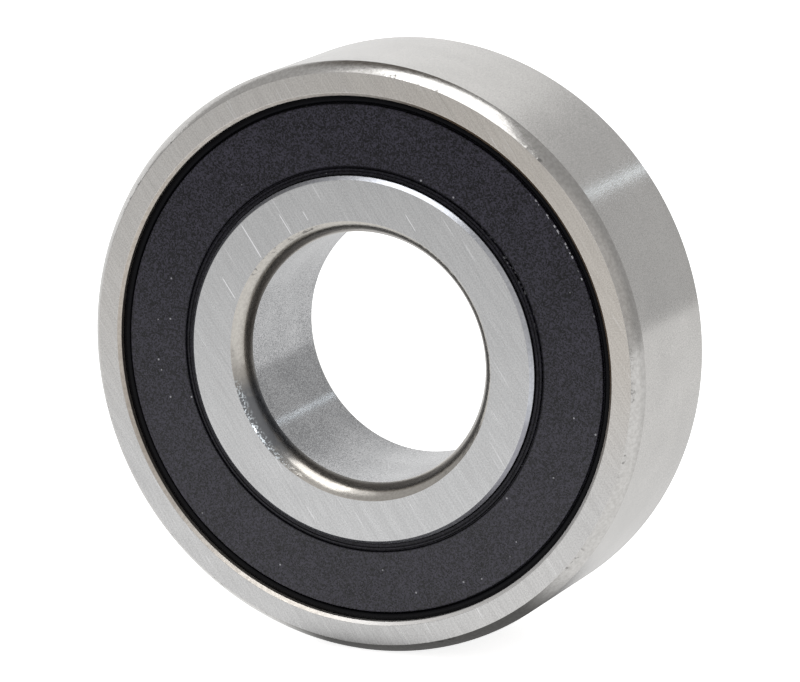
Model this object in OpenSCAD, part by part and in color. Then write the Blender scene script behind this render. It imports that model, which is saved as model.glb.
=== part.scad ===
// Sealed single-row deep groove ball bearing, with a riveted ribbon cage and a rubber seal on each side.
// Millimetres. The origin is the bearing's centre, its axis lies along Y and its front side faces -Y.
// Profiles are drawn as [radius, distance from the middle plane] and revolved about the bearing's axis.

/* [Bearing] */
// Bore diameter
bore_d = 17; // [16.9:0.05:17.1]
// Outside diameter
outside_d = 40; // [39.9:0.05:40.2]
// Width across the side faces
width = 12; // [11.6:0.1:14]

/* [Balls and raceways] */
// Number of balls
ball_count = 8; // [6:1:8]
// Ball diameter
ball_d = 6.747; // [6.5:0.01:6.8]
// Pitch circle diameter of the balls
pitch_d = 28.5; // [28.3:0.1:28.7]
// Free play between a ball and the bottom of each raceway
ball_play = 0.01; // [0.005:0.005:0.03]
// Inner raceway's groove radius, as a part of the ball diameter
inner_groove_ratio = 0.515; // [0.51:0.005:0.53]
// Outer raceway's groove radius, as a part of the ball diameter
outer_groove_ratio = 0.525; // [0.51:0.005:0.54]

/* [Ring corners] */
// Outside corner of the outer ring, radially
outer_corner_r = 0.65; // [0.3:0.05:0.9]
// Outside corner of the outer ring, along the axis
outer_corner_w = 0.96; // [0.8:0.01:1.2]
// How far that corner's round stands outside a straight chamfer
outer_corner_crown = 0.06; // [0.03:0.01:0.08]
// Bore corner of the inner ring, radially
bore_corner_r = 0.95; // [0.4:0.05:1.1]
// Bore corner of the inner ring, along the axis
bore_corner_w = 1.43; // [1.2:0.01:1.7]
// How far that corner's round stands outside a straight chamfer
bore_corner_crown = 0.1; // [0.04:0.01:0.14]

/* [Seal seat] */
// Radius of the recess's mouth in the outer ring's side face
mouth_r = 17.78; // [17.72:0.01:17.85]
// Radius at the bottom of the groove that the seal snaps into
snap_groove_r = 18.05; // [18:0.01:18.15]
// Radius of the outer ring's land beside the raceway
outer_land_r = 16.4; // [16.2:0.05:16.6]
// Depth below the side face of the shoulder that the seal rests on
shoulder_depth = 1.6; // [1.55:0.01:1.65]

/* [Inner ring lands] */
// Radius of the inner ring's land beside the raceway
inner_land_r = 12.2; // [12.1:0.05:12.25]
// Radius of the inner ring's rim, under the seal's lip
rim_r = 12.45; // [12.4:0.01:12.46]
// Radius at the bottom of the groove that the seal's lip runs in
lip_groove_r = 11.95; // [11.85:0.01:11.96]

/* [Seals] */
// How far the seal's flat face lies below the side faces
seal_depth = 0.45; // [0.4:0.01:0.5]
// Thickness of the rubber over the steel insert
rubber_t = 0.45; // [0.4:0.01:0.48]
// Thickness of the steel insert
insert_t = 0.3; // [0.25:0.01:0.32]
// Clearance between the seal's lip and the inner ring's rim
lip_play = 0.05; // [0.03:0.01:0.08]
// Radius of the rounded bead along the seal's edge
bead_r = 0.24; // [0.2:0.01:0.25]

/* [Cage] */
// Thickness of the cage's sheet
cage_t = 0.6; // [0.5:0.05:0.65]
// Inner radius of the cage
cage_in_r = 12.9; // [12.8:0.05:13.1]
// Outer radius of the cage
cage_out_r = 15.6; // [15.4:0.05:15.8]
// Clearance between a ball and its pocket
pocket_play = 0.08; // [0.05:0.01:0.1]
// Diameter of the rivets' shanks
rivet_d = 1.2; // [1:0.05:1.3]
// Diameter of the rivets' heads
rivet_head_d = 2.1; // [1.8:0.05:2.2]
// Height of the rivets' heads
rivet_head_h = 0.5; // [0.4:0.05:0.6]

/* [Hidden] */
$fn = 96;

ring_steel = [0.74, 0.73, 0.72];
ball_steel = [0.82, 0.83, 0.85];
cage_steel = [0.6, 0.58, 0.54];
rivet_steel = [0.66, 0.65, 0.63];
insert_steel = [0.5, 0.5, 0.5];
seal_black = [0.07, 0.07, 0.08];

// Overlap that keeps a cutting shape clear of the surface it cuts
over = 1;

bore_r = bore_d / 2;
outside_r = outside_d / 2;
side_y = width / 2;
shoulder_y = side_y - shoulder_depth;
ball_r = ball_d / 2;
pitch_r = pitch_d / 2;
ball_step = 360 / ball_count;

// A raceway's groove bottom lies one ball radius and the free play from the pitch circle.
inner_groove_r = inner_groove_ratio * ball_d;
inner_groove_x = pitch_r - ball_r - ball_play + inner_groove_r;
outer_groove_r = outer_groove_ratio * ball_d;
outer_groove_x = pitch_r + ball_r + ball_play - outer_groove_r;

// Seal seat in the outer ring, from the shoulder out to the side face
seat_edge = 0.15;
snap_low_y = shoulder_y + 0.22;
snap_high_y = shoulder_y + 0.74;
mouth_low_y = shoulder_y + 1.02;
mouth_edge = 0.22;

// Outer surface of the inner ring, from the raceway's land out to the side face
lip_groove_low_y = shoulder_y + 0.1;
lip_groove_high_y = shoulder_y + 0.4;
rim_low_y = shoulder_y + 0.75;
rim_high_y = side_y - 0.28;
rim_corner = 0.25;

// Layers of the seal, from its flat face inwards
seal_face_y = side_y - seal_depth;
insert_face_y = seal_face_y - rubber_t;
insert_back_y = insert_face_y - insert_t;
flange_end_y = shoulder_y + 0.15;
insert_in_r = 13.2;
flange_out_r = 17.2;
flange_in_r = flange_out_r - insert_t;

// The seal's rim keeps this clear of the snap groove's wall
rim_play = 0.03;
bead_x = mouth_r - rim_play - bead_r;
bead_y = seal_face_y - 0.33;
edge_groove_y = seal_face_y - 0.3;

// Two fine grooves run round the seal's face beside its lip: [radius, half width, depth]
face_lines = [[rim_r + 0.28, 0.04, 0.08], [rim_r + 0.52, 0.08, 0.22]];

// The seal's lip slopes down beside the lip groove's flank and ends in a tongue.
lip_in_r = rim_r + lip_play;
tongue_r = lip_groove_r + 0.08;
tongue_high_y = lip_groove_high_y - 0.03;
tongue_low_y = lip_groove_low_y + 0.08;
lip_slope_y = rim_low_y - 0.04;
lip_heel_r = inner_land_r + 0.15;
lip_heel_y = tongue_low_y - 0.06;

pocket_r = ball_r + pocket_play;
rivet_hole_play = 0.02;
head_sphere_r = (pow(rivet_head_d / 2, 2) + pow(rivet_head_h, 2)) / (2 * rivet_head_h);

// Radius of the circle through both ends of a corner that takes away r radially and w axially
function corner_round(r, w, crown) = (r * r + w * w) / (8 * crown) + crown / 2;

// That circle's centre, as seen from the corner's end on the cylinder; out is 1 outside a ring and -1 in a bore
function corner_centre(r, w, crown, out) =
    let (inwards = (corner_round(r, w, crown) - crown) / norm([r, w]))
    [-out * (r / 2 + w * inwards), w / 2 - r * inwards];

// Turns the profile's axis from Z to the bearing's axis, so that +Z comes to face the front.
module about_axis() {
    rotate([90, 0, 0]) children();
}

// Revolves a profile about the bearing's axis
module turned() {
    about_axis() rotate_extrude() children();
}

// A profile and its mirror image in the middle plane
module both_sides() {
    children();
    mirror([0, 1]) children();
}

// The sharp part outside a round on a ring's corner, at the front
module outside_corner(edge_r, r, w, crown) {
    translate([edge_r, side_y - w]) difference() {
        translate([-r - over, -over]) square([r + 2 * over, w + 2 * over]);
        translate(corner_centre(r, w, crown, 1)) circle(corner_round(r, w, crown));
    }
}

// The same for a corner on a bore
module bore_corner(edge_r, r, w, crown) {
    translate([edge_r, side_y - w]) difference() {
        translate([-over, -over]) square([r + 2 * over, w + 2 * over]);
        translate(corner_centre(r, w, crown, -1)) circle(corner_round(r, w, crown));
    }
}

// Half of the space inside the outer ring: its land, the seal's shoulder and snap groove, and the mouth
module outer_ring_hollow() {
    polygon([
        [bore_r, -over],
        [outer_land_r, -over],
        [outer_land_r, shoulder_y - seat_edge],
        [outer_land_r + seat_edge, shoulder_y],
        [mouth_r, shoulder_y],
        [snap_groove_r, snap_low_y],
        [snap_groove_r, snap_high_y],
        [mouth_r, mouth_low_y],
        [mouth_r, side_y - mouth_edge],
        [mouth_r + mouth_edge + over, side_y + over],
        [bore_r, side_y + over]
    ]);
}

module outer_ring() {
    color(ring_steel) turned() difference() {
        translate([bore_r, -side_y]) square([outside_r - bore_r, width]);
        both_sides() outer_ring_hollow();
        both_sides() outside_corner(outside_r, outer_corner_r, outer_corner_w, outer_corner_crown);
        translate([outer_groove_x, 0]) circle(outer_groove_r);
    }
}

// Half of the space round the inner ring: beside its land, the groove for the seal's lip, and its rim
module inner_ring_surround() {
    polygon([
        [rim_r + over, -over],
        [inner_land_r, -over],
        [inner_land_r, shoulder_y],
        [lip_groove_r, lip_groove_low_y],
        [lip_groove_r, lip_groove_high_y],
        [rim_r, rim_low_y],
        [rim_r, rim_high_y],
        [rim_r - rim_corner, side_y],
        [rim_r - rim_corner, side_y + over],
        [rim_r + over, side_y + over]
    ]);
}

module inner_ring() {
    color(ring_steel) turned() difference() {
        translate([bore_r, -side_y]) square([rim_r + over / 2 - bore_r, width]);
        both_sides() inner_ring_surround();
        both_sides() bore_corner(bore_r, bore_corner_r, bore_corner_w, bore_corner_crown);
        translate([inner_groove_x, 0]) circle(inner_groove_r);
    }
}

// Turns its children to a place on the pitch circle, counted in steps from the one at +X
module on_pitch_circle(step) {
    about_axis() rotate([0, 0, step * ball_step]) translate([pitch_r, 0, 0]) children();
}

module ball(i) {
    color(ball_steel) on_pitch_circle(i - 1) sphere(ball_r);
}

// The front half of the cage: flat webs that meet the other half, and a spherical pocket round each ball
module cage_half() {
    color(cage_steel) difference() {
        intersection() {
            about_axis() cylinder(h = side_y, r = cage_out_r);
            union() {
                about_axis() cylinder(h = cage_t, r = cage_out_r);
                for (i = [0 : ball_count - 1]) on_pitch_circle(i) sphere(pocket_r + cage_t);
            }
        }
        about_axis() translate([0, 0, -over]) cylinder(h = side_y, r = cage_in_r);
        for (i = [0 : ball_count - 1]) on_pitch_circle(i) sphere(pocket_r);
        for (i = [0 : ball_count - 1]) on_pitch_circle(i + 0.5) rivet_hole();
    }
}

module rivet_hole() {
    translate([0, 0, -over]) cylinder(h = cage_t + 2 * over, d = rivet_d + 2 * rivet_hole_play);
}

module cage_half_front() {
    cage_half();
}

module cage_half_rear() {
    mirror([0, 1, 0]) cage_half();
}

// A shallow dome that stands on the cage's sheet
module rivet_head() {
    intersection() {
        translate([0, 0, cage_t]) cylinder(h = rivet_head_h, d = rivet_head_d);
        translate([0, 0, cage_t + rivet_head_h - head_sphere_r]) sphere(head_sphere_r);
    }
}

module rivet(i) {
    color(rivet_steel) on_pitch_circle(i - 0.5) {
        cylinder(h = 2 * cage_t + rivet_head_h, d = rivet_d, center = true);
        rivet_head();
        mirror([0, 0, 1]) rivet_head();
    }
}

// The rubber's section, with the steel insert's space left in it
module seal_rubber_profile() {
    difference() {
        union() {
            translate([lip_in_r, insert_face_y]) square([flange_out_r - lip_in_r, rubber_t]);
            translate([bead_x, bead_y]) circle(bead_r);
            seal_rim_profile();
            seal_lip_profile();
        }
        for (line = face_lines) face_line(line[0], line[1], line[2]);
    }
}

// A groove in the seal's face with a round bottom
module face_line(x, half, depth) {
    translate([x, seal_face_y - depth + half]) circle(half);
    translate([x - half, seal_face_y - depth + half]) square([2 * half, depth + over]);
}

// The thick rim outside the insert's flange, which snaps into the outer ring's groove. A groove parts its bead
// from the seal's flat face.
module seal_rim_profile() {
    polygon([
        [flange_out_r, shoulder_y],
        [mouth_r - 2 * rim_play, shoulder_y],
        [snap_groove_r - rim_play, snap_low_y],
        [snap_groove_r - rim_play, snap_high_y - rim_play],
        [mouth_r - rim_play, mouth_low_y - rim_play],
        [bead_x, mouth_low_y - rim_play],
        [bead_x, edge_groove_y],
        [flange_out_r, edge_groove_y]
    ]);
}

// The lip inside the insert's edge, which runs beside the inner ring
module seal_lip_profile() {
    polygon([
        [lip_in_r, seal_face_y],
        [lip_in_r, lip_slope_y],
        [tongue_r, tongue_high_y],
        [tongue_r, tongue_low_y],
        [lip_heel_r, lip_heel_y],
        [insert_in_r, insert_back_y],
        [insert_in_r, seal_face_y]
    ]);
}

// The steel washer behind the rubber, with a flange turned inwards at its outer edge
module seal_insert_profile() {
    polygon([
        [insert_in_r, insert_back_y],
        [flange_in_r, insert_back_y],
        [flange_in_r, flange_end_y],
        [flange_out_r, flange_end_y],
        [flange_out_r, insert_face_y],
        [insert_in_r, insert_face_y]
    ]);
}

module seal_rubber() {
    color(seal_black) turned() seal_rubber_profile();
}

module seal_insert() {
    color(insert_steel) turned() seal_insert_profile();
}

module seal_front_rubber() {
    seal_rubber();
}

module seal_front_insert() {
    seal_insert();
}

module seal_rear_rubber() {
    mirror([0, 1, 0]) seal_rubber();
}

module seal_rear_insert() {
    mirror([0, 1, 0]) seal_insert();
}

outer_ring();
inner_ring();
for (i = [1 : ball_count]) {
    ball(i);
}
cage_half_front();
cage_half_rear();
for (i = [1 : ball_count]) {
    rivet(i);
}
seal_front_rubber();
seal_front_insert();
seal_rear_rubber();
seal_rear_insert();
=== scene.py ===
import math

import bpy
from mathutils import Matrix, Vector


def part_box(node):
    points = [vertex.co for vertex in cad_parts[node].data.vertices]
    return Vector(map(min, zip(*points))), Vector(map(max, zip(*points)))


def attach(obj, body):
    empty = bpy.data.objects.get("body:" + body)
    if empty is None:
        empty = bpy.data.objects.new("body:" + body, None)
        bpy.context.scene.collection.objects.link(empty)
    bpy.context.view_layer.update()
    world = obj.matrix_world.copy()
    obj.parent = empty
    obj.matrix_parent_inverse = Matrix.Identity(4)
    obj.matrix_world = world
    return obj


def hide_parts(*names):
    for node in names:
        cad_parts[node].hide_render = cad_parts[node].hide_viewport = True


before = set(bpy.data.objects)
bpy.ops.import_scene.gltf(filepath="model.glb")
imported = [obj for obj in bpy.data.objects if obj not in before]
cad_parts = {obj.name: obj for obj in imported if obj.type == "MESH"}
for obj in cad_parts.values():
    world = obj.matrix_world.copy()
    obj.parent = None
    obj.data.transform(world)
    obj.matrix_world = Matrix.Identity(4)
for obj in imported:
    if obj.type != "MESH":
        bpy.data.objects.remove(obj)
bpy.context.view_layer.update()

MM = 0.001

ring_low, ring_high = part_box("outer_ring")
centre = (ring_low + ring_high) / 2
FLOOR_Z = ring_low.z


# ---------------------------------------------------------------- sizes of the profiles, in mm

# Radii are from the axis. A SIDE, FACE, BACK, LOW, HIGH or SHOULDER is a height: the distance from the
# middle plane towards a side face.
OUTSIDE_R = ring_high.x / MM
SIDE = ring_high.y / MM
BORE_R = 8.5

# Each corner's size radially and axially, and how far its round stands outside a straight chamfer
OUTER_CORNER = (0.65, 0.96, 0.06)
BORE_CORNER = (0.95, 1.43, 0.1)

# The raceways: ball diameter, pitch circle, the ball's play at each bottom, and each groove's radius
BALL = 6.747
PITCH_R = 14.25
BALL_PLAY = 0.01
OUTER_GROOVE_R = 0.525 * BALL
INNER_GROOVE_R = 0.515 * BALL
OUTER_LAND_R = 16.4
INNER_LAND_R = 12.2

# The outer ring's recess: its mouth, the groove that the seal snaps into, and the shoulder under it
MOUTH_R, MOUTH_LOW, MOUTH_EDGE = 17.78, 5.42, 0.22
SNAP_R, SNAP_LOW, SNAP_HIGH = 18.05, 4.62, 5.14
SHOULDER = 4.4
SEAT_EDGE = 0.15

# The inner ring's rim, and the groove that the seal's lip runs in
RIM_R, RIM_LOW, RIM_HIGH = 12.45, 5.15, 5.72
RIM_CORNER = 0.25
LIP_GROOVE_R, LIP_GROOVE_LOW, LIP_GROOVE_HIGH = 11.95, 4.5, 4.8

# The seal's front: the edge of its flat band, the two fine lines in it as (radius, half width, depth),
# the height of the groove outside it, and the bead at the outer edge as (radius, height, round), with
# the angles in degrees at which that begins and ends
SEAL_FACE = 5.55
BAND_OUT_R, BAND_ROUND = 17.2, 0.1
FACE_LINES = [(12.73, 0.04, 0.08), (12.97, 0.08, 0.22)]
EDGE_GROOVE = 5.25
BEAD = (17.51, 5.22, 0.24)
BEAD_FROM, BEAD_TO = 172, 46

# Its back, with the room for the steel insert, its lip, and the play it has in the recess
INSERT_IN_R, INSERT_FACE, INSERT_BACK = 13.2, 5.1, 4.8
LIP_IN_R, LIP_HIGH = 12.5, 5.11
LIP_BACK = (12.35, 4.52)
TONGUE_R, TONGUE_LOW, TONGUE_HIGH = 12.03, 4.58, 4.77
SEAL_PLAY = 0.03

# How far sharp edges are rounded off, and the turn that makes an edge sharp
STEEL_EDGE = 0.035
RUBBER_EDGE = 0.03
SHARP = math.radians(20)

# Stretches round a revolved piece. A ring keeps under 200,000 triangles with these.
SEGMENTS = 336


# ---------------------------------------------------------------- outlines, as (radius, height) in mm

def arc(centre_r, centre_h, radius, first, last, steps):
    """Points on a circle between two angles in degrees, 0 along the radius and 90 towards the side face."""
    turns = [math.radians(first + (last - first) * i / steps) for i in range(steps + 1)]
    return [(centre_r + radius * math.cos(t), centre_h + radius * math.sin(t)) for t in turns]


def corner_arc(edge_r, outwards, radial, axial, crown, steps=12):
    """The round on a ring's corner, from its end on the cylinder to its end on the side face."""
    round_r = (radial * radial + axial * axial) / (8 * crown) + crown / 2
    inwards = (round_r - crown) / math.hypot(radial, axial)
    across, along = radial / 2 + axial * inwards, axial / 2 - radial * inwards
    first = math.degrees(math.atan2(-along, across))
    last = math.degrees(math.atan2(axial - along, across - radial))
    points = arc(-across, SIDE - axial + along, round_r, first, last, steps)
    return [(edge_r + outwards * r, h) for r, h in points]


def groove(radius, land_r, outwards, steps=18):
    """The front half of a raceway's groove, from the land's edge down to the middle plane."""
    centre_r = PITCH_R + outwards * (BALL / 2 + BALL_PLAY - radius)
    first = math.degrees(math.acos(abs(land_r - centre_r) / radius))
    points = arc(0, 0, radius, first, 0, steps)
    return [(centre_r + outwards * r, h) for r, h in points]


def face_line(x, half, depth):
    """A fine groove in the seal's face, with a round bottom."""
    floor = SEAL_FACE - depth + half
    return [(x - half, SEAL_FACE)] + arc(x, floor, half, 180, 360, 8) + [(x + half, SEAL_FACE)]


def section(points, slot):
    """The points with the number of the material that follows each of them."""
    return [(r, h, slot) for r, h in points]


def whole(half):
    """A closed outline from its front half: the half as it is, then its mirror image back to the start."""
    back = []
    for i in range(len(half) - 1, -1, -1):
        r, h, _ = half[i]
        if abs(h) < 1e-6 and i in (0, len(half) - 1):
            continue
        back.append((r, -h, half[i - 1][2] if i else half[0][2]))
    return half + back


def eased(points, radius, steps=3, share=0.4):
    """The outline with its sharp corners rounded off, over at most that share of the runs beside them."""
    done = []
    count = len(points)
    for i, (r, h, slot) in enumerate(points):
        before = Vector(points[i - 1][:2])
        here = Vector((r, h))
        after = Vector(points[(i + 1) % count][:2])
        into, out = here - before, after - here
        turn = into.angle(out, 0)
        if turn < SHARP:
            done.append((r, h, slot))
            continue
        reach = min(radius * math.tan(turn / 2), into.length * share, out.length * share)
        start = here - into.normalized() * reach
        end = here + out.normalized() * reach
        for k in range(steps + 1):
            t = k / steps
            bend = start.lerp(here, t).lerp(here.lerp(end, t), t)
            done.append((bend.x, bend.y, slot if k == steps else points[i - 1][2]))
    return done


def held(points, reach=0.04, longest=0.9):
    """The outline with extra points in its straight runs.

    Those near a run's ends keep it flat under smooth shading, and the others part what is too long.
    """
    done = []
    count = len(points)
    for i, (r, h, slot) in enumerate(points):
        here = Vector((r, h))
        after = Vector(points[(i + 1) % count][:2])
        run = after - here
        done.append((r, h, slot))
        if run.length > 3 * reach:
            step = run.normalized() * reach
            first, last = here + step, after - step
            done.append((first.x, first.y, slot))
            pieces = max(1, math.ceil((last - first).length / longest))
            for k in range(1, pieces + 1):
                point = first.lerp(last, k / pieces)
                done.append((point.x, point.y, slot))
    return done


def revolved(name, outline, materials, side=1):
    """A piece made by turning an outline about the bearing's axis.

    side is 1 for the front and -1 for the mirror image of it at the rear.
    """
    count = len(outline)
    verts = []
    for k in range(SEGMENTS):
        turn = 2 * math.pi * k / SEGMENTS
        c, s = math.cos(turn) * MM, math.sin(turn) * MM
        verts += [(r * c, -h * side * MM, r * s) for r, h, _ in outline]
    faces, slots = [], []
    for k in range(SEGMENTS):
        a, b = k * count, (k + 1) % SEGMENTS * count
        for i in range(count):
            j = (i + 1) % count
            faces.append((a + i, a + j, b + j, b + i))
            slots.append(outline[i][2])
    mesh = bpy.data.meshes.new(name)
    mesh.from_pydata(verts, [], faces)
    for material in materials:
        mesh.materials.append(material)
    mesh.polygons.foreach_set("material_index", slots)
    mesh.polygons.foreach_set("use_smooth", [True] * len(faces))
    mesh.update()
    nexts = outline[1:] + outline[:1]
    area = sum(r * next_h - next_r * h for (r, h, _), (next_r, next_h, _) in zip(outline, nexts))
    if area * side > 0:
        mesh.flip_normals()
    piece = bpy.data.objects.new(name, mesh)
    bpy.context.scene.collection.objects.link(piece)
    return piece


# ---------------------------------------------------------------- material nodes

def feed(tree, socket, value):
    """Links another node's output to the socket, or sets the socket to a plain value."""
    if isinstance(value, bpy.types.NodeSocket):
        tree.links.new(value, socket)
    else:
        socket.default_value = value


def add_node(tree, kind, inputs=(), **options):
    """A node with its options set and its inputs, by name or number, fed."""
    made = tree.nodes.new(kind)
    for option, value in options.items():
        setattr(made, option, value)
    for key, value in dict(inputs).items():
        feed(tree, made.inputs[key], value)
    return made


class Look:
    """A material of one Principled shader, with short calls for the nodes that drive it."""

    def __init__(self, name, colour, roughness, metallic=1.0, **plain):
        self.material = bpy.data.materials.new(name)
        self.material.use_nodes = True
        self.tree = self.material.node_tree
        self.shader = self.tree.nodes["Principled BSDF"]
        self.set("Base Color", (*colour, 1))
        self.set("Roughness", roughness)
        self.set("Metallic", metallic)
        for socket, value in plain.items():
            self.set(socket.replace("_", " "), value)
        self.place = self.node("ShaderNodeTexCoord").outputs["Object"]

    def set(self, socket, value):
        """Drives an input of the shader by a node's output, or sets it to a plain value."""
        feed(self.tree, self.shader.inputs[socket], value)

    def node(self, kind, inputs=(), **options):
        return add_node(self.tree, kind, inputs, **options)

    def maths(self, operation, a, b=0.0, c=0.0):
        return self.node("ShaderNodeMath", {0: a, 1: b, 2: c}, operation=operation).outputs[0]

    def product(self, first, *others):
        for other in others:
            first = self.maths("MULTIPLY", first, other)
        return first

    def gap(self, value, other):
        """How far the value is from the other, never below zero."""
        return self.maths("ABSOLUTE", self.maths("SUBTRACT", value, other))

    def weighed(self, a, share, b):
        """That share of a with the rest of b."""
        return self.maths("MULTIPLY_ADD", a, share, self.maths("MULTIPLY", b, 1 - share))

    def clamp(self, value, low, high, to_low=0.0, to_high=1.0):
        """Value's range low to high stretched over to_low to to_high, eased at both ends."""
        inputs = {"Value": value, "From Min": low, "From Max": high, "To Min": to_low, "To Max": to_high}
        return self.node("ShaderNodeMapRange", inputs, interpolation_type="SMOOTHSTEP").outputs["Result"]

    def between(self, value, start, full, fading, end):
        """1 while the value is from full to fading, easing to 0 at start and at end."""
        return self.product(self.clamp(value, start, full), self.clamp(value, end, fading))

    def noise(self, size, detail=2.0, place=None, stretch=(1, 1, 1), turn=(0, 0, 0)):
        """Noise from 0 to 1 with grains of about size metres, turned, then drawn out along each axis."""
        turned = self.node("ShaderNodeMapping", {"Vector": place or self.place, "Rotation": turn})
        scaled = self.node("ShaderNodeMapping", {
            "Vector": turned.outputs[0], "Scale": tuple(1 / s for s in stretch),
        })
        made = self.node("ShaderNodeTexNoise", {
            "Vector": scaled.outputs[0], "Scale": 1 / size, "Detail": detail,
        })
        return made.outputs["Fac"]

    def cells(self, size):
        """Voronoi outputs, with cells of about size metres."""
        return self.node("ShaderNodeTexVoronoi", {"Vector": self.place, "Scale": 1 / size}).outputs

    def mix(self, share, a, b):
        """Colour a turning into colour b as the share goes from 0 to 1."""
        made = self.node("ShaderNodeMix", {0: share}, data_type="RGBA")
        for number, colour in ((6, a), (7, b)):
            plain = isinstance(colour, tuple)
            feed(self.tree, made.inputs[number], (*colour, 1) if plain else colour)
        return made.outputs[2]

    def relief(self, height, depth, under=None):
        """A bump of that height, in metres at a height of 1, on top of an earlier one."""
        made = self.node("ShaderNodeBump", {"Height": height, "Distance": depth, "Strength": 1.0})
        if under is not None:
            self.tree.links.new(under, made.inputs["Normal"])
        return made.outputs[0]

    def split(self, vector=None):
        """The x, y and z of a vector, or of the place on the piece."""
        return self.node("ShaderNodeSeparateXYZ", {0: vector or self.place}).outputs

    def polar(self):
        """Radius, angle and height along the axis. The angle runs from -0.5 to 0.5 of a turn, 0 at +X."""
        x, y, z = self.split()
        radius = self.maths("SQRT", self.maths("MULTIPLY_ADD", z, z, self.maths("MULTIPLY", x, x)))
        angle = self.maths("DIVIDE", self.maths("ARCTAN2", z, x), 2 * math.pi)
        return radius, angle, y

    def round_lines(self, polar, size, detail, turn_length=0.01):
        """Noise as lines round the axis: a whole turn is only turn_length metres long in it."""
        radius, angle, height = polar
        wound = self.node("ShaderNodeCombineXYZ", {
            0: self.maths("MULTIPLY", angle, turn_length), 1: height, 2: radius,
        })
        return self.noise(size, detail, wound.outputs[0])

    def scratch(self, start, length, half):
        """1 along a straight scratch that follows the lay from its start, all in mm, and 0 beside it."""
        moved = self.node("ShaderNodeVectorMath", {
            0: self.place, 1: (start[0] * MM, 0, start[1] * MM),
        }, operation="SUBTRACT")
        turned = self.node("ShaderNodeMapping", {"Vector": moved.outputs[0], "Rotation": LAY_TURN})
        along, _, beside = self.split(turned.outputs[0])
        within = self.clamp(self.gap(along, length / 2 * MM), length / 2 * MM, length / 3 * MM)
        near = self.clamp(self.maths("ABSOLUTE", beside), half * MM, half * MM / 3)
        return self.product(within, near)


# ---------------------------------------------------------------- materials

# The grinding lay on the side faces runs down to the right, seen from the front
LAY_TURN = (0, math.radians(-55), 0)

# Scratches on the inner ring's face: where each starts across and up, its length and half its width, in mm
SCRATCHES = [
    (-8.7, 8.68, 2.75, 0.045),
    (-7.75, 7.3, 1.15, 0.04),
    (-5.86, 9.54, 1.75, 0.04),
    (-10.1, 4.9, 1.9, 0.035),
    (-4.1, 9.85, 0.8, 0.035),
    (3.3, 10.3, 1.5, 0.03),
]

# Stretches of the turn, in polar()'s angles: where each starts, is full, fades and ends
DARK_PATCH_ARC = (-0.475, -0.44, -0.38, -0.33)
PAINTED_LIGHT_MOUTH_ARC = (-0.29, -0.24, -0.08, -0.03)
SHADED_RIM_ARC = (-0.18, -0.13, -0.05, -0.02)
OIL_AND_SHADE_ARC = (-0.05, 0.01, 0.19, 0.25)
GLINT_ARC = (0.03, 0.07, 0.1, 0.15)

# From this height to the side face the bore corner's shading rolls over, by this curvature per metre
ROLL_START, ROLL_CURVE = 0.0052, 200.0

# Radii of the two thin painted glints on the seal, and of the glossy zones at its edges, which also carry
# painted shade
GLINT_RADII = (0.01713, 0.0129)
GLOSSY_SHADED_OUT = (0.01716, 0.01724)
GLOSSY_SHADED_IN = (0.01316, 0.01306)


def ground_cylinder(name, dark, light, grain_depth):
    """Steel ground round the axis: highlights narrow round the ring and long along it."""
    look = Look(name, light, 0.17, Anisotropic=0.88, Anisotropic_Rotation=0.25)
    lines = look.round_lines(look.polar(), 0.00006, 3, turn_length=0.02)
    grain = look.noise(0.00009, 2)
    cloud = look.noise(0.004, 3)
    tone = look.clamp(look.weighed(grain, 0.8, cloud), 0.36, 0.64)
    look.set("Base Color", look.mix(tone, dark, light))
    look.set("Roughness", look.clamp(grain, 0.25, 0.75, 0.14, 0.22))
    look.set("Normal", look.relief(grain, grain_depth, look.relief(lines, 0.0000008)))
    tangent = look.node("ShaderNodeTangent", direction_type="RADIAL", axis="Y")
    look.set("Tangent", tangent.outputs[0])
    return look.material


def ground_face(name):
    """Steel faces ground flat, with a straight lay, long fine lines and a few scratches."""
    look = Look(name, (0.55, 0.55, 0.55), 0.3)
    radius = look.polar()[0]
    across, _, up = look.split()
    fine = look.noise(0.00007, 2, stretch=(30, 1, 1), turn=LAY_TURN)
    broad = look.noise(0.0005, 2, stretch=(12, 1, 1), turn=LAY_TURN)
    grain = look.noise(0.0001, 2)

    tone = look.clamp(look.weighed(fine, 0.35, grain), 0.34, 0.66)
    cool = look.mix(tone, (0.46, 0.462, 0.465), (0.60, 0.602, 0.605))
    beige = look.mix(tone, (0.50, 0.468, 0.43), (0.65, 0.615, 0.57))
    outwards = look.clamp(radius, 0.013, 0.017)
    rightwards = look.clamp(across, -0.012, 0.014, 0.5, 1.0)
    upwards = look.clamp(up, -0.01, 0.005, 0.2, 1.0)
    colour = look.mix(look.product(outwards, rightwards, upwards), cool, beige)

    long_lines = look.noise(0.00009, 1, stretch=(45, 1, 1), turn=LAY_TURN)
    shine = look.clamp(long_lines, 0.66, 0.74)
    here = look.clamp(look.noise(0.003, 2), 0.48, 0.62)
    scratches = look.product(shine, here, 0.4)
    for x, z, length, half in SCRATCHES:
        scratches = look.maths("MAXIMUM", scratches, look.scratch((x, z), length, half))
    look.set("Base Color", look.mix(scratches, colour, (0.95, 0.95, 0.97)))
    look.set("Roughness", look.clamp(broad, 0.3, 0.7, 0.27, 0.36))
    look.set("Normal", look.relief(grain, 0.0000025, look.relief(fine, 0.0000007)))
    return look.material


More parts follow.
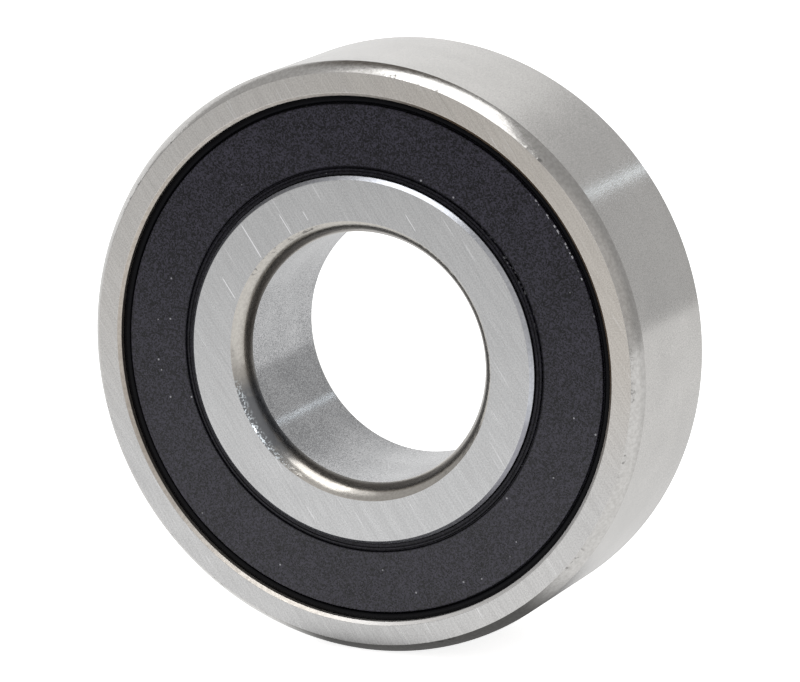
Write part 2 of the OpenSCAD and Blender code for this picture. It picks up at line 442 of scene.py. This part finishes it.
def bore_corner_painted_light(look, polar, from_middle, grain, rag):
    """The bore corner's colour: a painted shade band at its deep side, a blue-black patch of painted dark
    reflection, and painted blue-white glints on its ragged edge.
    """
    _, angle, height = polar
    steel = look.mix(look.clamp(grain, 0.3, 0.7), (0.455, 0.435, 0.405), (0.52, 0.498, 0.462))
    # Painted shade: a dark band on the deep side of the corner, next to the bore
    painted_shade_band = look.clamp(look.maths("MULTIPLY_ADD", grain, 0.0002, from_middle), 0.0058, 0.0049)
    painted_shade_band = look.product(painted_shade_band, look.clamp(from_middle, 0.00462, 0.00488))
    colour = look.mix(painted_shade_band, steel, (0.24, 0.218, 0.195))

    # Painted shade: a blue-black dark reflection in blotches, on the front at the lower left
    front_only = look.clamp(height, -0.003, -0.005)
    blotches = look.clamp(look.noise(0.0012, 3), 0.3, 0.5, 0.5, 1.0)
    painted_dark_patch = look.product(look.between(angle, *DARK_PATCH_ARC), front_only, blotches)
    colour = look.mix(look.product(painted_dark_patch, 0.8), colour, (0.13, 0.145, 0.17))

    # The ragged edge is real; the blue-white flecks on it are painted highlights, glints within the dark
    # patch
    ragged = look.clamp(look.maths("MULTIPLY_ADD", rag, 0.0004, from_middle), 0.0058, 0.0061)
    painted_glints = look.product(look.clamp(look.noise(0.00014, 2), 0.5, 0.58), ragged, painted_dark_patch)
    return look.mix(painted_glints, colour, (0.86, 0.94, 1.0))


def turned_corner(name, in_bore):
    """The rings' turned corners: ragged and pitted in places where they meet the face."""
    look = Look(name, (0.5, 0.5, 0.5), 0.2)
    polar = look.polar()
    from_middle = look.maths("ABSOLUTE", polar[2])
    lines = look.round_lines(polar, 0.00005, 3)
    grain = look.noise(0.00022, 4)
    rag = look.noise(0.0003, 4)
    if in_bore:
        colour = bore_corner_painted_light(look, polar, from_middle, grain, rag)
    else:
        colour = look.mix(look.clamp(grain, 0.3, 0.7), (0.465, 0.455, 0.44), (0.555, 0.545, 0.53))

    patches = look.clamp(look.noise(0.0035, 1), 0.52, 0.62)
    edge = look.clamp(look.maths("MULTIPLY_ADD", rag, 0.0003, from_middle), 0.0059, 0.00612)
    edge = look.product(edge, patches)
    pits = look.product(edge, look.clamp(rag, 0.54, 0.64), 0.8)
    look.set("Base Color", look.mix(pits, colour, (0.18, 0.175, 0.17)))
    look.set("Roughness", look.clamp(lines, 0.3, 0.7, 0.13, 0.26))

    bump = look.relief(lines, 0.000001)
    bump = look.relief(grain, 0.0000022, bump)
    bump = look.relief(look.product(edge, rag), 0.00003, bump)
    if in_bore:
        rolled = look.maths("MAXIMUM", look.maths("SUBTRACT", from_middle, ROLL_START), 0.0)
        bump = look.relief(look.product(rolled, rolled), -ROLL_CURVE, bump)
    look.set("Normal", bump)
    return look.material


def turned_recess(name):
    """The turned steel beside the seals: a bluish rim with painted shade at the lower right, and a beige
    mouth that is brown in places, with a painted highlight at the lower right and painted shade over oil at
    the upper right.
    """
    look = Look(name, (0.5, 0.5, 0.5), 0.25)
    polar = look.polar()
    radius, angle, _ = polar
    lines = look.round_lines(polar, 0.00005, 3)
    grain = look.noise(0.0002, 4)
    tone = look.clamp(grain, 0.3, 0.7)

    rim = look.mix(tone, (0.44, 0.455, 0.49), (0.55, 0.565, 0.605))
    # Painted shade: the rim darker at the lower right
    painted_rim_shade = look.product(look.between(angle, *SHADED_RIM_ARC), 0.6)
    rim = look.mix(painted_rim_shade, rim, (0.2, 0.19, 0.22))

    mouth = look.mix(tone, (0.55, 0.515, 0.475), (0.72, 0.68, 0.63))
    # Painted highlight: the mouth near white from the bottom to the lower right
    mouth = look.mix(look.between(angle, *PAINTED_LIGHT_MOUTH_ARC), mouth, (0.92, 0.905, 0.885))
    # The angle jumps at the left, so the stain there is two halves
    left = look.maths("MAXIMUM", look.clamp(angle, 0.34, 0.42), look.clamp(angle, -0.36, -0.44))
    mouth = look.mix(look.product(left, 0.35), mouth, (0.3, 0.24, 0.18))
    # Dark brown at the upper right: oil, deepened by painted shade
    mouth = look.mix(look.between(angle, *OIL_AND_SHADE_ARC), mouth, (0.16, 0.115, 0.075))

    look.set("Base Color", look.mix(look.clamp(radius, 0.013, 0.015), rim, mouth))
    rough = look.clamp(radius, 0.013, 0.015, 0.25, 0.39)
    look.set("Roughness", look.maths("MULTIPLY_ADD", lines, 0.1, rough))
    look.set("Normal", look.relief(grain, 0.000005, look.relief(lines, 0.000001)))
    return look.material


def raceway_steel(name):
    """Honed raceways: bright, with the finest lines round the axis."""
    look = Look(name, (0.62, 0.62, 0.62), 0.08)
    lines = look.round_lines(look.polar(), 0.00004, 2)
    look.set("Roughness", look.clamp(lines, 0.3, 0.7, 0.06, 0.11))
    look.set("Base Color", look.mix(lines, (0.58, 0.58, 0.58), (0.66, 0.66, 0.66)))
    look.set("Normal", look.relief(lines, 0.0000003))
    return look.material


def seal_rubber(name):
    """Blue-black rubber, grainy and dusty on the flat with painted glints, darker by painted shade and
    glossier at both edges, with a sheen painted stronger low than high.
    """
    look = Look(name, (0.01, 0.01, 0.014), 0.44, metallic=0.0)
    radius, angle, _ = look.polar()
    grain = look.noise(0.00009, 3)
    crumb = look.cells(0.00009)["Color"]
    cloud = look.noise(0.0025, 3)
    tone = look.clamp(look.weighed(crumb, 0.8, cloud), 0.24, 0.76)
    colour = look.mix(tone, (0.0, 0.0, 0.001), (0.0255, 0.0235, 0.0365))

    dust_and_glints = look.product(look.clamp(look.cells(0.0016)["Distance"], 0.055, 0.03), 0.7)
    dots = look.clamp(look.cells(0.00033)["Distance"], 0.35, 0.2)
    # Painted glints: bright dots on two thin rings at the upper right, added to the dust
    lit = look.between(angle, *GLINT_ARC)
    for glint_r in GLINT_RADII:
        thin = look.clamp(look.gap(radius, glint_r), 0.00006, 0.00003)
        dust_and_glints = look.maths("MAXIMUM", dust_and_glints, look.product(thin, lit, dots, 1.5))
    colour = look.mix(dust_and_glints, colour, (0.3, 0.3, 0.32))

    # Painted shade: both edges near-black and less specular, and also glossier
    glossy_shaded_inner_edge = look.product(look.clamp(radius, *GLOSSY_SHADED_IN), 0.6)
    glossy_shaded_edges = look.maths("MAXIMUM", look.clamp(radius, *GLOSSY_SHADED_OUT), glossy_shaded_inner_edge)
    look.set("Base Color", look.mix(glossy_shaded_edges, colour, (0.003, 0.003, 0.004)))
    # Painted sheen: the specular level falls from the bottom of the seal to its top
    painted_sheen_by_height = look.clamp(look.split()[2], -0.012, 0.017, 0.48, 0.24)
    look.set("Specular IOR Level", look.product(painted_sheen_by_height, look.maths("MULTIPLY_ADD", glossy_shaded_edges, -0.8, 1.0)))
    flat_rough = look.clamp(look.noise(0.00016, 1), 0.3, 0.7, 0.32, 0.56)
    look.set("Roughness", look.maths("MULTIPLY_ADD", glossy_shaded_edges, -0.12, flat_rough))
    look.set("Normal", look.relief(grain, 0.00001))
    return look.material


def polished_ball(name):
    look = Look(name, (0.68, 0.68, 0.69), 0.06)
    marks = look.noise(0.0003, 3)
    look.set("Roughness", look.clamp(marks, 0.4, 0.7, 0.05, 0.09))
    look.set("Base Color", look.mix(marks, (0.66, 0.66, 0.67), (0.71, 0.71, 0.72)))
    return look.material


def pressed_steel(name, light, dark, roughness):
    """Dull sheet and wire steel, blotchy and grainy."""
    look = Look(name, light, roughness)
    grain = look.noise(0.0001, 4)
    blotch = look.noise(0.0012, 3)
    tone = look.clamp(look.weighed(grain, 0.5, blotch), 0.3, 0.7)
    look.set("Base Color", look.mix(tone, dark, light))
    look.set("Roughness", look.clamp(grain, 0.3, 0.7, roughness - 0.07, roughness + 0.08))
    look.set("Normal", look.relief(grain, 0.000006))
    return look.material


# The slots of both rings, which differ only in the first two materials
CYLINDER, CORNER, FACE, RECESS, RACE = range(5)
shared_looks = [
    ground_face("ring_face_ground"),
    turned_recess("ring_recess_turned"),
    raceway_steel("ring_raceway_honed"),
]
outer_looks = [
    ground_cylinder("ring_outside_ground", (0.45, 0.44, 0.425), (0.62, 0.605, 0.585), 0.0000025),
    turned_corner("outer_corner_turned", in_bore=False),
] + shared_looks
inner_looks = [
    ground_cylinder("ring_bore_ground", (0.24, 0.243, 0.25), (0.575, 0.578, 0.585), 0.000003),
    turned_corner("bore_corner_turned", in_bore=True),
] + shared_looks
rubber = seal_rubber("seal_rubber")


# ---------------------------------------------------------------- rings and seals

def outer_ring():
    half = (
        section([(OUTSIDE_R, 0)], CYLINDER)
        + section(corner_arc(OUTSIDE_R, 1, *OUTER_CORNER)[:-1], CORNER)
        + section([(OUTSIDE_R - OUTER_CORNER[0], SIDE)], FACE)
        + section([
            (MOUTH_R + MOUTH_EDGE, SIDE), (MOUTH_R, SIDE - MOUTH_EDGE), (MOUTH_R, MOUTH_LOW),
            (SNAP_R, SNAP_HIGH), (SNAP_R, SNAP_LOW), (MOUTH_R, SHOULDER),
            (OUTER_LAND_R + SEAT_EDGE, SHOULDER), (OUTER_LAND_R, SHOULDER - SEAT_EDGE),
        ], RECESS)
        + section(groove(OUTER_GROOVE_R, OUTER_LAND_R, 1), RACE)
    )
    return revolved("outer_ring_body", held(eased(whole(half), STEEL_EDGE)), outer_looks)


def inner_ring():
    half = (
        section([(BORE_R, 0)], CYLINDER)
        + section(corner_arc(BORE_R, -1, *BORE_CORNER)[:-1], CORNER)
        + section([(BORE_R + BORE_CORNER[0], SIDE)], FACE)
        + section([
            (RIM_R - RIM_CORNER, SIDE), (RIM_R, RIM_HIGH), (RIM_R, RIM_LOW),
            (LIP_GROOVE_R, LIP_GROOVE_HIGH), (LIP_GROOVE_R, LIP_GROOVE_LOW), (INNER_LAND_R, SHOULDER),
        ], RECESS)
        + section(groove(INNER_GROOVE_R, INNER_LAND_R, -1), RACE)
    )
    return revolved("inner_ring_body", held(eased(whole(half), STEEL_EDGE)), inner_looks)


def seal(name, side):
    outline = [(LIP_IN_R, SEAL_FACE)]
    for line in FACE_LINES:
        outline += face_line(*line)
    outline += arc(BAND_OUT_R - BAND_ROUND, SEAL_FACE - BAND_ROUND, BAND_ROUND, 90, 0, 6)
    outline += [(BAND_OUT_R, EDGE_GROOVE)]
    outline += arc(*BEAD, BEAD_FROM, BEAD_TO, 12)
    outline += [
        (MOUTH_R - SEAL_PLAY, MOUTH_LOW - SEAL_PLAY), (SNAP_R - SEAL_PLAY, SNAP_HIGH - SEAL_PLAY),
        (SNAP_R - SEAL_PLAY, SNAP_LOW), (MOUTH_R - 2 * SEAL_PLAY, SHOULDER), (BAND_OUT_R, SHOULDER),
        (BAND_OUT_R, INSERT_FACE), (INSERT_IN_R, INSERT_FACE), (INSERT_IN_R, INSERT_BACK),
        LIP_BACK, (TONGUE_R, TONGUE_LOW), (TONGUE_R, TONGUE_HIGH), (LIP_IN_R, LIP_HIGH),
    ]
    return revolved(name, held(eased(section(outline, 0), RUBBER_EDGE)), [rubber], side)


for piece, node, body, slot in (
    (outer_ring(), "outer_ring", "outer", "ring_steel"),
    (inner_ring(), "inner_ring", "inner", "ring_steel"),
    (seal("seal_front_body", 1), "seal_front_rubber", "outer", "seal_rubber"),
    (seal("seal_rear_body", -1), "seal_rear_rubber", "outer", "seal_rubber"),
):
    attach(piece, body)
    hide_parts(node)

# The hidden pieces keep the CAD's shape, with the material that their names call for
hidden_looks = {
    "ball": polished_ball("ball_polished"),
    "cage": pressed_steel("cage_pressed", (0.55, 0.53, 0.50), (0.42, 0.40, 0.37), 0.34),
    "rivet": pressed_steel("rivet_upset", (0.60, 0.59, 0.57), (0.48, 0.47, 0.45), 0.3),
    "insert": pressed_steel("insert_plated", (0.46, 0.46, 0.47), (0.34, 0.34, 0.35), 0.42),
}
for name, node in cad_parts.items():
    for key, material in hidden_looks.items():
        if key in name:
            for place in node.material_slots:
                place.material = material


# ---------------------------------------------------------------- stage, light and camera

# The ring's shade on the paper, as the steel mirrors it: its middle across, and how far from there the
# shade starts to fade and has ended, to the sides and then to the front and rear
SHADE_X = 0.0048
SHADE_WIDTH = (0.0072, 0.014)
SHADE_DEPTH = (0.007, 0.011)

# The wall card's place and edges, and a point and the slope of the edge between its grey and its light
WALL_Y, WALL_LEFT, WALL_RIGHT, WALL_TOP = 0.15, -0.5, 0.4, 0.2
WALL_BOTTOM = FLOOR_Z + 0.0105
GREY_X, GREY_Z, GREY_SLOPE = 0.018, 0.094, 0.6
GREY_SOFTNESS = 0.007

# The bright line on it: its slope, its half width where it ends and is full, where it runs across, and
# how bright it is before and after a place across
LINE_SLOPE = math.radians(46.4)
LINE_HALF = (0.0014, 0.0005)
LINE_RUN = (0.03, 0.04, 0.105, 0.12)
LINE_GLOW = (0.054, 0.06, 2.8, 1.4)

# The room's own light, and patches of more or less light in it: azimuth, elevation, how many degrees off
# each is full and ends, and its colour
ROOM_LIGHT = (0.46, 0.455, 0.45)
ROOM_PATCHES = [
    (-148, 57, 11, 25, (-0.32, -0.33, -0.34)),
    (0, 18, 12, 45, (0.4, 0.39, 0.38)),
    (-80, 45, 15, 42, (0.1, 0.1, 0.1)),
    (-58, 68, 5, 17, (0.8, 0.8, 0.8)),
    (60, 18, 10, 36, (0.2, 0.19, 0.18)),
]

# The camera's lens and sensor in mm, its direction and distance from the bearing, and how far it stands
# to the right of the line to the centre and above it
LENS, SENSOR = 223.9065, 36
CAMERA_AZIMUTH, CAMERA_ELEVATION, CAMERA_DISTANCE = 24.43, 13.10, 0.33395
CAMERA_RIGHT, CAMERA_UP = 0.0002264, 0.0001496


def direction(azimuth, elevation):
    """The unit vector towards an azimuth, which is 0 in front and 90 to the right, and an elevation."""
    a, e = math.radians(azimuth), math.radians(elevation)
    return Vector((math.sin(a) * math.cos(e), -math.cos(a) * math.cos(e), math.sin(e)))


def sheet(name, corners, light):
    """A flat four-cornered sheet of the stage, which glows by itself with that strength."""
    mesh = bpy.data.meshes.new(name)
    mesh.from_pydata(corners, [], [(0, 1, 2, 3)])
    made = bpy.data.objects.new(name, mesh)
    bpy.context.scene.collection.objects.link(made)
    look = Look(name, (0, 0, 0), 1.0, metallic=0.0)
    look.set("Emission Color", (1, 1, 1, 1))
    look.set("Emission Strength", light)
    mesh.materials.append(look.material)
    return made, look


def mirrored_only(card):
    """Leaves the card to reflections: the camera, the floor and the shadows don't see it."""
    card.visible_camera = False
    card.visible_diffuse = False
    card.visible_shadow = False


def level_corners(half, z):
    return [(-half, -half, z), (half, -half, z), (half, half, z), (-half, half, z)]


def plain_floor():
    """The pale paper under the bearing, as the camera sees it."""
    floor, look = sheet("floor_paper", level_corners(3, FLOOR_Z), 0.8)
    look.set("Base Color", (0.9, 0.9, 0.9, 1))
    floor.visible_glossy = False


def bounce_card():
    """What the steel mirrors of the paper it stands on: bright, darker under the ring and far in front."""
    card, look = sheet("bounce_card", level_corners(0.8, FLOOR_Z - 0.0001), 1.0)
    mirrored_only(card)
    x, y, _ = look.split()
    aside = look.clamp(look.gap(x, SHADE_X), *SHADE_WIDTH, 0.15, 1.0)
    beyond = look.clamp(look.maths("ABSOLUTE", y), *SHADE_DEPTH)
    not_under = look.maths("MAXIMUM", aside, beyond)
    front = look.clamp(y, -0.185, -0.035, 0.52, 1.0)
    behind = look.clamp(y, 0.0, 0.008, 1.0, 0.84)
    look.set("Emission Strength", look.product(not_under, front, behind, 1.1))


def wall_card():
    """What the cylinders mirror behind the bearing: light, grey at the lower right, with one bright line."""
    corners = [
        (WALL_LEFT, WALL_Y, WALL_BOTTOM), (WALL_RIGHT, WALL_Y, WALL_BOTTOM),
        (WALL_RIGHT, WALL_Y, WALL_TOP), (WALL_LEFT, WALL_Y, WALL_TOP),
    ]
    card, look = sheet("wall_card", corners, 1.0)
    mirrored_only(card)
    x, _, z = look.split()
    aside = look.maths("SUBTRACT", x, GREY_X)
    rise = look.maths("MULTIPLY_ADD", aside, -GREY_SLOPE, look.maths("SUBTRACT", z, GREY_Z))
    above = look.clamp(rise, -GREY_SOFTNESS, GREY_SOFTNESS)
    to_left = look.clamp(x, -0.033, -0.065)
    level = look.clamp(look.maths("MAXIMUM", above, to_left), 0.0, 1.0, 0.6, 1.06)
    along_z = look.maths("MULTIPLY", z, math.cos(LINE_SLOPE))
    off_line = look.maths("ABSOLUTE", look.maths("MULTIPLY_ADD", x, -math.sin(LINE_SLOPE), along_z))
    line = look.product(look.clamp(off_line, *LINE_HALF), look.between(x, *LINE_RUN))
    glow = look.product(line, look.clamp(x, *LINE_GLOW))
    look.set("Emission Strength", look.maths("ADD", glow, level))
    look.set("Emission Color", look.mix(line, (1, 1, 1), (0.84, 0.93, 1.0)))


def panel(name, azimuth, elevation, distance, width, height, radiance):
    """A soft panel that faces the bearing, with a radiance that doesn't change with its size."""
    data = bpy.data.lights.new(name, "AREA")
    data.shape = "RECTANGLE"
    data.size, data.size_y = width, height
    data.energy = radiance * math.pi * width * height
    lamp = bpy.data.objects.new(name, data)
    towards = direction(azimuth, elevation)
    lamp.location = centre + towards * distance
    lamp.rotation_euler = towards.to_track_quat("Z", "Y").to_euler()
    lamp.visible_camera = False
    bpy.context.scene.collection.objects.link(lamp)


def studio():
    """The room: grey, with smooth lighter and darker patches by direction."""
    world = bpy.data.worlds.new("studio")
    bpy.context.scene.world = world
    world.use_nodes = True
    tree = world.node_tree
    seen = add_node(tree, "ShaderNodeTexCoord").outputs["Generated"]
    light = ROOM_LIGHT
    for azimuth, elevation, full, end, colour in ROOM_PATCHES:
        near = add_node(tree, "ShaderNodeVectorMath", {
            0: seen, 1: direction(azimuth, elevation),
        }, operation="DOT_PRODUCT").outputs["Value"]
        patch = add_node(tree, "ShaderNodeMapRange", {
            "Value": near, "From Min": math.cos(math.radians(end)), "From Max": math.cos(math.radians(full)),
        }, interpolation_type="SMOOTHSTEP").outputs["Result"]
        tint = add_node(tree, "ShaderNodeVectorMath", {0: colour, "Scale": patch}, operation="SCALE")
        total = add_node(tree, "ShaderNodeVectorMath", {0: tint.outputs[0], 1: light}, operation="ADD")
        light = total.outputs[0]
    tree.links.new(light, tree.nodes["Background"].inputs["Color"])


def photo_camera():
    """The camera at the photo's viewing angle, with no depth of field."""
    back = direction(CAMERA_AZIMUTH, CAMERA_ELEVATION)
    right = Vector((0, 0, 1)).cross(back).normalized()
    up = back.cross(right)
    data = bpy.data.cameras.new("camera")
    data.sensor_width = SENSOR
    data.lens = LENS
    data.clip_start, data.clip_end = 0.01, 20
    camera = bpy.data.objects.new("camera", data)
    camera.location = centre + right * CAMERA_RIGHT + up * CAMERA_UP + back * CAMERA_DISTANCE
    camera.rotation_euler = back.to_track_quat("Z", "Y").to_euler()
    bpy.context.scene.collection.objects.link(camera)
    bpy.context.scene.camera = camera


plain_floor()
bounce_card()
wall_card()
studio()
panel("top_softbox", azimuth=9, elevation=79, distance=0.51, width=0.34, height=0.4, radiance=2.2)
panel("front_lamp", azimuth=26, elevation=18, distance=0.6, width=0.05, height=0.05, radiance=6.0)
photo_camera()
bpy.context.scene.view_settings.view_transform = "Standard"
bpy.context.scene.view_settings.look = "None"
